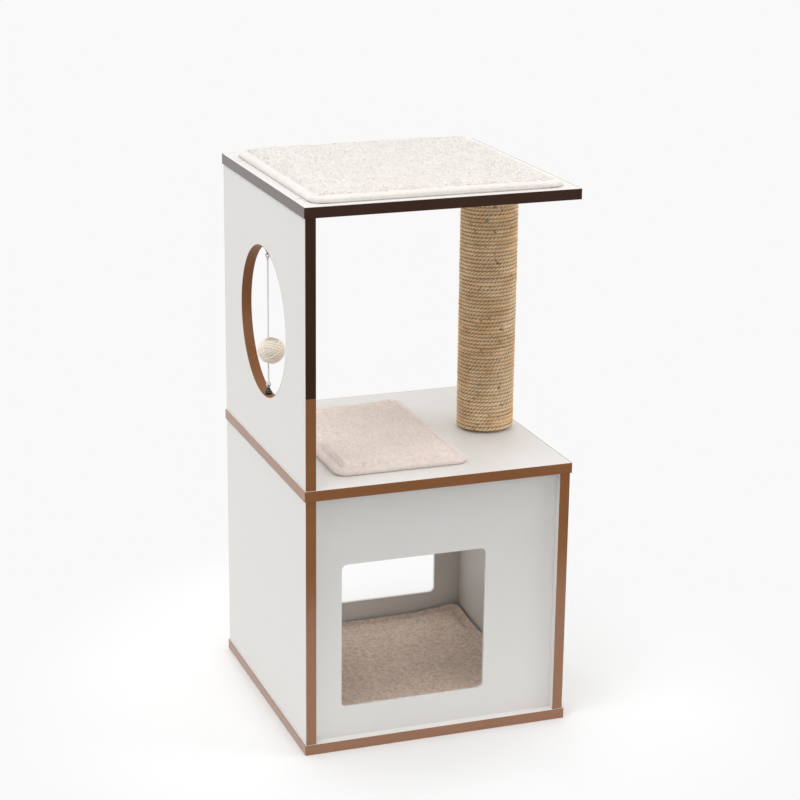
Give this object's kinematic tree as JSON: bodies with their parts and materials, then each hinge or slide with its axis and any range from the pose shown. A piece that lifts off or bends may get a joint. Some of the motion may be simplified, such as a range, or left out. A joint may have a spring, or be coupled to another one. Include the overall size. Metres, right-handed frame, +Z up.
{
  "type": "cat condo",
  "caption": "Tall cat condo: a boxed den with a doorway, a shelf bay with a sisal post, a round side window with a ball on a cord, and plush pads.",
  "frame": {"origin": "middle of the base board's underside, on the floor", "axes": "+Z up, -Y out of the doorway, -X out of the round window"},
  "size_m": [0.406, 0.4, 0.8092],
  "materials": {
    "white_board": "white melamine face, satin",
    "brown_edge": "mid-brown edge band, semi-gloss",
    "dark_edge": "dark brown edge band, semi-gloss",
    "white_cap": "moulded, satin",
    "beech": "bare wood",
    "steel": "zinc plated",
    "zinc": "die cast",
    "paper_tube": "spiral-wound paper",
    "sisal": "twisted natural rope",
    "black_plastic": "moulded, satin",
    "black_wire": "black coated wire",
    "elastic": "braided elastic",
    "ball_strand": "wound soft strands",
    "plush": "short plush pile",
    "foam": "soft foam",
    "hook_and_loop": "hook and loop tape"
  },
  "bodies": {
    "carcass": {"base_board": "white_board", "left_lower_panel": "white_board", "right_lower_panel": "white_board", "front_panel": "white_board", "back_panel": "white_board", "middle_shelf": "white_board", "left_upper_panel": "white_board", "top_board": "white_board", "base_edge_band": "brown_edge", "left_lower_edge_band": "brown_edge", "right_lower_edge_band": "brown_edge", "shelf_edge_band": "brown_edge", "left_upper_brown_band": "brown_edge", "porthole_edge_band": "brown_edge", "left_upper_dark_band": "dark_edge", "top_edge_band": "dark_edge", "top_screw_caps": "white_cap", "dowels": "beech", "post_end_plugs": "beech", "base_screws": "steel", "top_screws": "steel", "cam_bolts": "steel", "post_inserts": "steel", "post_bolts": "steel", "post_washers": "steel", "cam_locks": "zinc", "post_tube": "paper_tube", "sisal_winding": "sisal", "upper_eye": "black_plastic", "lower_eye": "black_plastic", "hook_strips": "hook_and_loop"},
    "upper_link": {"upper_ring": "black_wire"},
    "hanging_cord": {"upper_cord": "elastic"},
    "ball": {"toy_ball": "ball_strand"},
    "lower_link": {"lower_ring": "black_wire"},
    "tether_cord": {"lower_cord": "elastic"},
    "top_pad": {"top_pad_cover": "plush", "top_pad_foam": "foam", "top_pad_loop_strips": "hook_and_loop"},
    "shelf_pad": {"shelf_pad_cover": "plush", "shelf_pad_foam": "foam", "shelf_pad_loop_strips": "hook_and_loop"},
    "floor_pad": {"floor_pad_cover": "plush", "floor_pad_foam": "foam", "floor_pad_loop_strips": "hook_and_loop"}
  },
  "joints": [
    {"name": "toy_sway", "type": "hinge", "parent": "carcass", "child": "upper_link", "pos_m": [-0.1905, 0, 0.6912], "axis": [1, 0, 0], "range_deg": [-5, 5], "stiffness_Nm_per_rad": 0.1},
    {"name": "toy_swing", "type": "hinge", "parent": "upper_link", "child": "hanging_cord", "pos_m": [-0.1905, 0, 0.6863], "axis": [0, 1, 0], "range_deg": [-5, 5], "stiffness_Nm_per_rad": 0.1},
    {"name": "ball_spin", "type": "hinge", "parent": "hanging_cord", "child": "ball", "pos_m": [-0.1905, 0, 0.545], "axis": [0, 0, 1], "continuous": true},
    {"name": "tether_sway", "type": "hinge", "parent": "carcass", "child": "lower_link", "pos_m": [-0.1905, 0, 0.4883], "axis": [1, 0, 0], "range_deg": [-20, 20]},
    {"name": "tether_swing", "type": "hinge", "parent": "lower_link", "child": "tether_cord", "pos_m": [-0.1905, 0, 0.4932], "axis": [0, 1, 0], "range_deg": [-22, 22]},
    {"name": "top_pad_lift", "type": "slide", "parent": "carcass", "child": "top_pad", "axis": [0, 0, 1], "range_m": [0, 0.12]},
    {"name": "shelf_pad_lift", "type": "slide", "parent": "carcass", "child": "shelf_pad", "axis": [0, 0, 1], "range_m": [0, 0.12]},
    {"name": "floor_pad_lift", "type": "slide", "parent": "carcass", "child": "floor_pad", "axis": [0, 0, 1], "range_m": [0, 0.08]}
  ],
  "couplings": [
    {"joint": "tether_sway", "follows": "toy_sway", "ratio": -3.8657},
    {"joint": "tether_swing", "follows": "toy_swing", "ratio": -4.2473}
  ]
}
